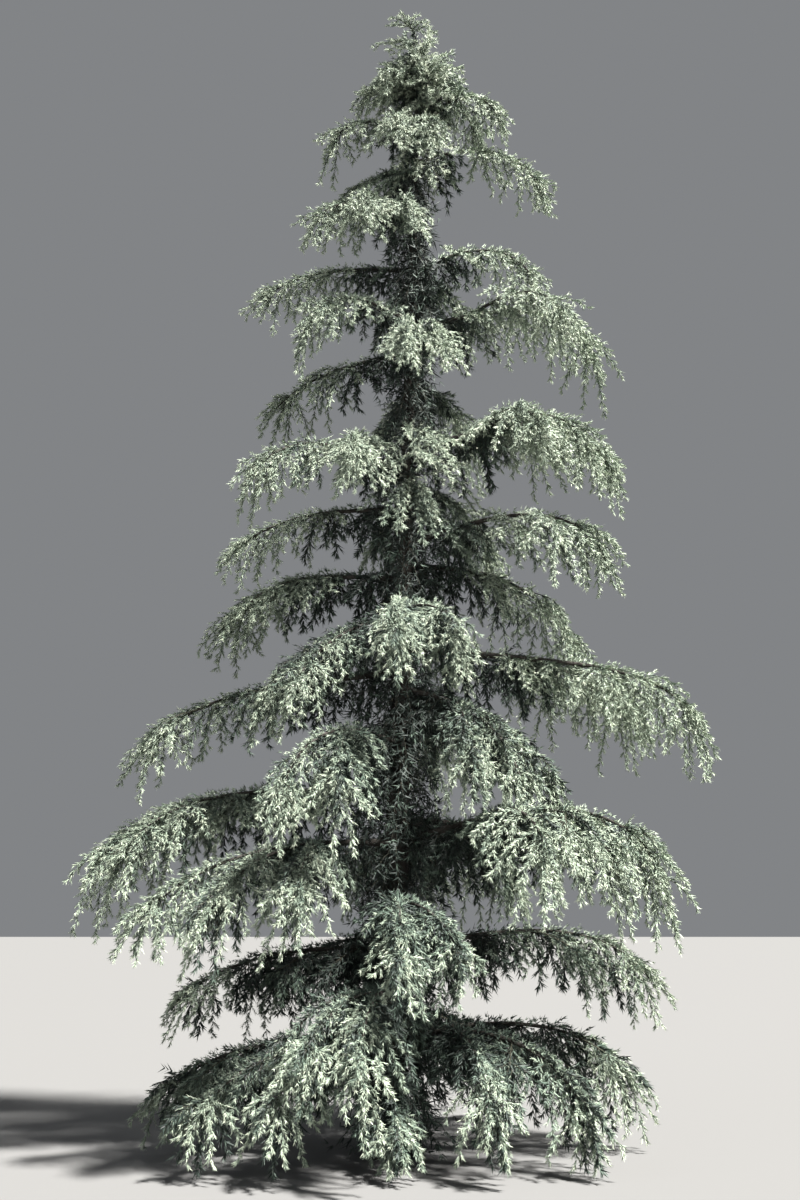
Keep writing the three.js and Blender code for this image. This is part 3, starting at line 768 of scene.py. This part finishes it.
def mesh_piece(name, vertices, faces, smooth):
    """A mesh object of triangles."""
    vertices = np.ascontiguousarray(vertices, dtype=np.float32)
    mesh = bpy.data.meshes.new(name)
    mesh.vertices.add(len(vertices))
    mesh.vertices.foreach_set("co", vertices.ravel())
    mesh.loops.add(faces.size)
    mesh.loops.foreach_set("vertex_index", faces.astype(np.int32).ravel())
    mesh.polygons.add(len(faces))
    mesh.polygons.foreach_set("loop_start", np.arange(0, faces.size, 3, dtype=np.int32))
    mesh.polygons.foreach_set("use_smooth", np.full(len(faces), smooth))
    mesh.update(calc_edges=True)
    piece = bpy.data.objects.new(name, mesh)
    bpy.context.scene.collection.objects.link(piece)
    return piece


def tube_faces(rings, sides, first=0):
    """The triangles between rings of points, whose first point has the number given."""
    low = np.arange(rings - 1)[:, None] * sides
    side = np.arange(sides)[None]
    following = (side + 1) % sides
    quads = [low + side, low + following, low + sides + following, low + sides + side]
    quads = np.stack(quads, axis=-1).reshape(-1, 4) + first
    return np.vstack([quads[:, [0, 1, 2]], quads[:, [0, 2, 3]]])


def lattice_noise(u, v, columns, rows, seed):
    """Smooth noise from -1 to 1 that repeats round u, which runs from 0 to 1."""
    values = np.random.default_rng(seed).uniform(-1, 1, (rows + 2, columns))
    x = (u % 1) * columns
    y = np.clip(v, 0, 1) * rows
    i = np.floor(x).astype(int) % columns
    j = np.floor(y).astype(int)
    fx = x - np.floor(x)
    fy = y - j
    fx = fx * fx * (3 - 2 * fx)
    fy = fy * fy * (3 - 2 * fy)
    i2 = (i + 1) % columns
    low = lerp(values[j, i], values[j, i2], fx)
    high = lerp(values[j + 1, i], values[j + 1, i2], fx)
    return lerp(low, high, fy)


def bark_relief(u, v, columns, rows, seed):
    """Plates between furrows that run up the stem, with finer flakes on them, from 0 to 1."""
    bend = lattice_noise(u, v, columns, rows * 2, seed) * BARK_WAVER / columns
    furrows = np.abs(lattice_noise(u + bend, v, columns, rows, seed + 1))
    cracks = np.abs(lattice_noise(u + bend, v, columns * 2, rows * 4, seed + 2))
    flakes = lattice_noise(u, v, columns * 3, rows * 9, seed + 3)
    furrows = FURROW_DEPTH * np.minimum(1, furrows * FURROW_SHARPNESS)
    cracks = CRACK_DEPTH * np.minimum(1, cracks * CRACK_SHARPNESS)
    return furrows + cracks + FLAKE_DEPTH * flakes


def trunk_mesh():
    """The trunk with its flare, lobes and bark, closed at the ground and at the tip."""
    heights = np.unique(np.concatenate([np.linspace(*run) for run in TRUNK_RINGS]))
    angles = np.linspace(0, 2 * np.pi, TRUNK_SIDES, endpoint=False)
    grid_z, grid_angle = np.meshgrid(heights, angles, indexing="ij")
    lobes = 1 + LOBE_DEPTH * np.cos(ROOT_LOBES * grid_angle)
    radius = trunk_radius(grid_z) + FLARE_DEPTH * np.exp(-3 * grid_z / FLARE_HEIGHT) * lobes
    around = grid_angle / (2 * np.pi)
    relief = bark_relief(around, grid_z / TRUNK_HEIGHT, *TRUNK_PLATES, TRUNK_BARK_SEED)
    depth = np.minimum(TRUNK_BARK_DEPTH, radius * TRUNK_BARK_SHARE)
    radius += (relief - TRUNK_BARK_LEVEL) * depth
    rings = trunk_centre(grid_z)
    rings[..., 0] += np.cos(grid_angle) * radius
    rings[..., 1] += np.sin(grid_angle) * radius
    rings = rings.reshape(-1, 3)
    foot = len(rings)
    tip = foot + 1
    side = np.arange(TRUNK_SIDES)
    following = np.roll(side, -1)
    last = foot - TRUNK_SIDES
    foot_cap = np.stack([following, side, np.full(TRUNK_SIDES, foot)], axis=-1)
    tip_cap = np.stack([side + last, following + last, np.full(TRUNK_SIDES, tip)], axis=-1)
    point = trunk_centre(TRUNK_HEIGHT) + UP * TRUNK_POINT
    vertices = np.vstack([rings, [[0, 0, 0]], point[None]])
    triangles = np.vstack([tube_faces(len(heights), TRUNK_SIDES), foot_cap, tip_cap])
    return mesh_piece("trunk_bark", vertices, triangles, True)


def bough_mesh():
    """Boughs and their leaders, with the same bark at a finer grain and a collar at the trunk."""
    vertices = []
    triangles = []
    first = 0
    turn = np.linspace(0, 2 * np.pi, LIMB_SIDES, endpoint=False)
    fan = np.arange(1, LIMB_SIDES - 1)
    for number, (name, leaders) in enumerate(FAMILIES.items()):
        for order, leader in enumerate(leaders):
            shares = leader.shares
            ways = heading(leader.bearing, leader.slope(shares))
            across = heading(leader.bearing + 90, 0 * shares)
            top = np.cross(ways, across)
            radius = leader.radius(shares)[:, None] * np.ones(LIMB_SIDES)
            grid_u = np.broadcast_to(turn / (2 * np.pi), radius.shape)
            grid_v = np.broadcast_to(((shares - shares[0]) / (1 - shares[0]))[:, None], radius.shape)
            plates = max(LIMB_FEWEST_PLATES, len(shares) // LIMB_PLATE_RINGS)
            seed = LIMB_BARK_SEED + number * BARK_SEEDS + order
            relief = bark_relief(grid_u, grid_v, LIMB_PLATES, plates, seed)
            radius *= 1 - LIMB_RELIEF / 2 + LIMB_RELIEF * relief
            if order == 0:
                gone = np.linalg.norm(leader.path - leader.path[0], axis=1)
                outside = np.maximum(gone - float(trunk_radius(BOUGHS[name][0])), 0)
                radius *= (1 + COLLAR_SWELL * np.exp(-outside / COLLAR_LENGTH))[:, None]
            ring = (
                leader.path[:, None]
                + across[:, None] * (np.cos(turn) * radius)[..., None]
                + top[:, None] * (np.sin(turn) * radius)[..., None]
            )
            vertices.append(ring.reshape(-1, 3))
            triangles.append(tube_faces(len(shares), LIMB_SIDES, first))
            last = first + (len(shares) - 1) * LIMB_SIDES
            middle = np.zeros_like(fan)
            triangles.append(last + np.stack([middle, fan, fan + 1], axis=-1))
            triangles.append(first + np.stack([middle, fan + 1, fan], axis=-1))
            first = last + LIMB_SIDES
    return mesh_piece("bough_bark", np.vstack(vertices), np.vstack(triangles), True)


def twig_mesh(name, paths):
    """Three-sided twigs that end in a point. A twig of two points is one slim triangle."""
    vertices = []
    triangles = []
    first = 0
    corner = np.array([0, 2 * np.pi / 3, 4 * np.pi / 3])
    for path, radius in paths:
        if len(path) == 2:
            across = unit(np.cross(path[1] - path[0], RNG.normal(size=3)))
            root = path[0]
            blade = [root - across * radius, root + across * radius, path[1]]
            vertices.append(np.array(blade))
            triangles.append(np.array([[first, first + 1, first + 2]]))
            first += 3
            continue
        ways = unit(np.gradient(path, axis=0))
        across = unit(np.cross(ways, NEARLY_UP))
        top = np.cross(ways, across)
        thin = radius * np.linspace(1, TWIG_THINNING, len(path))[:-1]
        ring = (
            path[:-1, None]
            + across[:-1, None] * np.cos(corner)[:, None] * thin[:, None, None]
            + top[:-1, None] * np.sin(corner)[:, None] * thin[:, None, None]
        ).reshape(-1, 3)
        vertices.append(ring)
        vertices.append(path[-1:])
        rings = len(path) - 1
        triangles.append(tube_faces(rings, 3, first))
        last = first + (rings - 1) * 3
        tip = first + rings * 3
        point = [[last, last + 1, tip], [last + 1, last + 2, tip], [last + 2, last, tip]]
        triangles.append(np.array(point))
        first = tip + 1
    return mesh_piece(name, np.vstack(vertices), np.vstack(triangles), False)


def needle_mesh(name, rows, needles, swell):
    """Whorls of needles. Each needle is a slim pointed blade that leaves the whorl's middle."""
    centres, ways, sizes = rows[:, 0:3], rows[:, 3:6], rows[:, 6]
    count = len(rows)
    across = unit(np.cross(ways, NEARLY_UP))
    top = np.cross(ways, across)
    turn = np.arange(needles) + RNG.uniform(0, 1, (count, 1))
    turn = turn + RNG.uniform(-NEEDLE_TWIST, NEEDLE_TWIST, (count, needles))
    turn = turn * 2 * np.pi / needles
    lean = np.radians(RNG.uniform(*NEEDLE_LEAN, (count, needles)))
    outward = across[:, None] * np.cos(turn)[..., None] + top[:, None] * np.sin(turn)[..., None]
    needle = ways[:, None] * np.cos(lean)[..., None] + outward * np.sin(lean)[..., None]
    flat = unit(np.cross(needle, RNG.normal(size=(count, needles, 3))))

    # the blade's face is turned away from the trunk, and its shading is rounded across it
    away = unit(centres - trunk_centre(centres[:, 2]) + UP * NEVER_ZERO)[:, None]
    face = unit(np.cross(needle, flat))
    turned = np.where((face * away).sum(axis=2, keepdims=True) < 0, -1, 1)
    flat = flat * turned
    soft = face * turned + needle * NORMAL_ALONG + away * NORMAL_OUT + UP * NORMAL_UP
    normals = unit(np.stack([soft + flat * NORMAL_ROUND, soft - flat * NORMAL_ROUND, soft], axis=2))

    long = NEEDLE_LENGTH * swell * sizes[:, None, None]
    long = long * RNG.uniform(*NEEDLE_VARIETY, (count, needles, 1))
    root = centres[:, None]
    half = flat * (NEEDLE_WIDTH * swell / 2)
    points = np.stack([root + half, root - half, root + needle * long], axis=2)
    points[..., 2] = np.maximum(points[..., 2], LOWEST_NEEDLE)
    vertices = points.reshape(-1, 3)
    piece = mesh_piece(name, vertices, np.arange(len(vertices)).reshape(-1, 3), True)
    rounded = piece.data.attributes.new("custom_normal", "FLOAT_VECTOR", "POINT")
    rounded.data.foreach_set("vector", normals.astype(np.float32).ravel())
    piece.data.update()
    return piece


# Materials

SPECULAR = 0.3
SHEEN_ROUGHNESS = 0.5
BUMP_STRENGTH = 0.6
BUMP_DEPTH = 0.004


def material(name, shape, roughness, sheen=0.0):
    made = bpy.data.materials.new(name)
    made.use_nodes = True
    shader = made.node_tree.nodes["Principled BSDF"]
    shader.inputs["Roughness"].default_value = roughness
    shader.inputs["Specular IOR Level"].default_value = SPECULAR
    if sheen:
        shader.inputs["Sheen Weight"].default_value = sheen
        shader.inputs["Sheen Roughness"].default_value = SHEEN_ROUGHNESS
    shape(made.node_tree, shader)
    return made


def noise(tree, scale, detail, stretch=(1, 1, 1)):
    coordinates = tree.nodes.new("ShaderNodeTexCoord")
    mapping = tree.nodes.new("ShaderNodeMapping")
    mapping.inputs["Scale"].default_value = stretch
    texture = tree.nodes.new("ShaderNodeTexNoise")
    texture.inputs["Scale"].default_value = scale
    texture.inputs["Detail"].default_value = detail
    tree.links.new(coordinates.outputs["Object"], mapping.inputs["Vector"])
    tree.links.new(mapping.outputs["Vector"], texture.inputs["Vector"])
    return texture


def ramp(tree, source, stops):
    node = tree.nodes.new("ShaderNodeValToRGB")
    elements = node.color_ramp.elements
    while len(elements) < len(stops):
        elements.new(0.5)
    for element, (place, colour) in zip(elements, stops):
        element.position = place
        element.color = (*colour, 1)
    tree.links.new(source, node.inputs["Fac"])
    return node


def needle_shape(dark, light):
    def shape(tree, shader):
        texture = noise(tree, scale=38, detail=3)
        colours = ramp(tree, texture.outputs["Fac"], [(0.3, dark), (0.7, light)])
        tree.links.new(colours.outputs["Color"], shader.inputs["Base Color"])

    return shape


def bark_shape(scale, stretch, colours):
    def shape(tree, shader):
        plates = noise(tree, scale, detail=8, stretch=stretch)
        shades = ramp(tree, plates.outputs["Fac"], colours)
        tree.links.new(shades.outputs["Color"], shader.inputs["Base Color"])
        grain = noise(tree, scale * 4, detail=6, stretch=stretch)
        bump = tree.nodes.new("ShaderNodeBump")
        bump.inputs["Strength"].default_value = BUMP_STRENGTH
        bump.inputs["Distance"].default_value = BUMP_DEPTH
        tree.links.new(grain.outputs["Fac"], bump.inputs["Height"])
        tree.links.new(bump.outputs["Normal"], shader.inputs["Normal"])

    return shape


# dark grey-brown bark, made darker still as painted shade for the trunk and limbs inside the tree
BARK_COLOURS = [
    (0.3, (0.012, 0.0105, 0.009)),
    (0.5, (0.032, 0.028, 0.024)),
    (0.7, (0.062, 0.056, 0.049)),
]
TWIG_COLOURS = [(0.3, (0.028, 0.028, 0.020)), (0.7, (0.068, 0.065, 0.047))]
bark_look = bark_shape(scale=14, stretch=(1, 1, 0.3), colours=BARK_COLOURS)
twig_look = bark_shape(scale=60, stretch=(1, 1, 1), colours=TWIG_COLOURS)
BARK = material("bark", bark_look, roughness=0.9)
TWIG_BARK = material("twig_bark", twig_look, roughness=0.85)
NEEDLE_COLOURS = {
    # near black, painted shade inside the tree
    DEEP: ((0.010, 0.018, 0.014), (0.024, 0.038, 0.030)),
    MID: ((0.041, 0.064, 0.049), (0.084, 0.121, 0.091)),
    SOFT: ((0.115, 0.152, 0.115), (0.194, 0.246, 0.186)),
    LIGHT: ((0.231, 0.284, 0.216), (0.345, 0.404, 0.309)),
    PALE: ((0.357, 0.41, 0.316), (0.49, 0.54, 0.42)),
}
SHADE_NAMES = {DEEP: "deep", MID: "mid", SOFT: "soft", LIGHT: "light", PALE: "pale"}
# Deep needles are near-black painted shade that fills the depth of the tree, so they are fewer and
# larger. The palest ones are few because they stand at thin tips.
NEEDLES_IN_WHORL = {DEEP: 2, MID: 3, SOFT: 4, LIGHT: 4, PALE: 3}
SWELL = {DEEP: 1.7, MID: 1.3, SOFT: 1.1, LIGHT: 1, PALE: 0.95}
NEEDLES = {
    shade: material(f"needles_{SHADE_NAMES[shade]}", needle_shape(*colours), roughness=0.6, sheen=0.1)
    for shade, colours in NEEDLE_COLOURS.items()
}

# The pieces: trunk, boughs, and for each band its twigs and the needles of each shade

trunk = trunk_mesh()
boughs = bough_mesh()
trunk.data.materials.append(BARK)
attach(trunk, "root")
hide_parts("trunk")
boughs.data.materials.append(BARK)
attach(boughs, "root")
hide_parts(*[f"bough_{name}" for name in BARE_BOUGHS])

for band, band_name in enumerate(BANDS):
    nodes = [f"foliage_{name}" for name in BOUGHS if band_of(name) == band]
    piece = twig_mesh(f"twigs_{band_name}", twigs[band])
    piece.data.materials.append(TWIG_BARK)
    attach(piece, "root")
    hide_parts(*nodes)
    rows = np.vstack(whorls[band])
    rows = rows[in_box(rows[:, 0:3])]
    for shade, needles in NEEDLES.items():
        chosen = rows[rows[:, 7] == shade]
        piece_name = f"needles_{SHADE_NAMES[shade]}_{band_name}"
        piece = needle_mesh(piece_name, chosen, NEEDLES_IN_WHORL[shade], SWELL[shade])
        piece.data.materials.append(needles)
        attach(piece, "root")
        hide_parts(*nodes)

# The stage: a plain pale floor, a sun from the upper right with soft light from the left, and the
# camera of the photograph

FLOOR_SIZE = 160
FLOOR_COLOUR = (0.118, 0.118, 0.116)
FLOOR_ROUGHNESS = 0.9
SKY_COLOUR = (0.93, 0.96, 1)
SKY_STRENGTH = 0.24
SUN_PLACE = (7.4, -5.2, 15.2)
SUN_ENERGY = 20
SUN_ANGLE = 6
SUN_COLOUR = (1, 0.975, 0.94)
FILL_PLACE = (-11, -9, 7)
FILL_TARGET = (0, 0, 4)
FILL_SIZE = 7
FILL_POWER = 320
FILL_COLOUR = (0.9, 0.95, 1)
CAMERA_PLACE = (0.07, -9.36, 1.6)
CAMERA_TILT = 13.6
CAMERA_LENS = 38.73
CAMERA_SENSOR = 36


def put(name, data, place, rotation):
    holder = bpy.data.objects.new(name, data)
    holder.location = place
    holder.rotation_euler = rotation
    bpy.context.scene.collection.objects.link(holder)
    return holder


def aim(place, target):
    """The rotation that turns a light at a place to its target."""
    return (Vector(target) - Vector(place)).to_track_quat("-Z", "Y").to_euler()


floor_material = bpy.data.materials.new("floor")
floor_material.use_nodes = True
floor_shader = floor_material.node_tree.nodes["Principled BSDF"]
floor_shader.inputs["Base Color"].default_value = (*FLOOR_COLOUR, 1)
floor_shader.inputs["Roughness"].default_value = FLOOR_ROUGHNESS
bpy.ops.mesh.primitive_plane_add(size=FLOOR_SIZE)
floor = bpy.context.object
floor.name = "floor"
floor.data.materials.append(floor_material)

world = bpy.data.worlds.new("studio")
world.use_nodes = True
world.node_tree.nodes["Background"].inputs["Color"].default_value = (*SKY_COLOUR, 1)
world.node_tree.nodes["Background"].inputs["Strength"].default_value = SKY_STRENGTH
bpy.context.scene.world = world
bpy.context.scene.view_settings.view_transform = "Standard"

sun = bpy.data.lights.new("key", "SUN")
sun.energy = SUN_ENERGY
sun.angle = math.radians(SUN_ANGLE)
sun.color = SUN_COLOUR
put("key", sun, SUN_PLACE, aim(SUN_PLACE, (0, 0, 0)))

fill = bpy.data.lights.new("fill", "AREA")
fill.shape = "DISK"
fill.size = FILL_SIZE
fill.energy = FILL_POWER
fill.color = FILL_COLOUR
put("fill", fill, FILL_PLACE, aim(FILL_PLACE, FILL_TARGET))

camera = bpy.data.cameras.new("camera")
camera.sensor_width = CAMERA_SENSOR
camera.lens = CAMERA_LENS
camera_rotation = (math.radians(90 + CAMERA_TILT), 0, 0)
bpy.context.scene.camera = put("camera", camera, CAMERA_PLACE, camera_rotation)
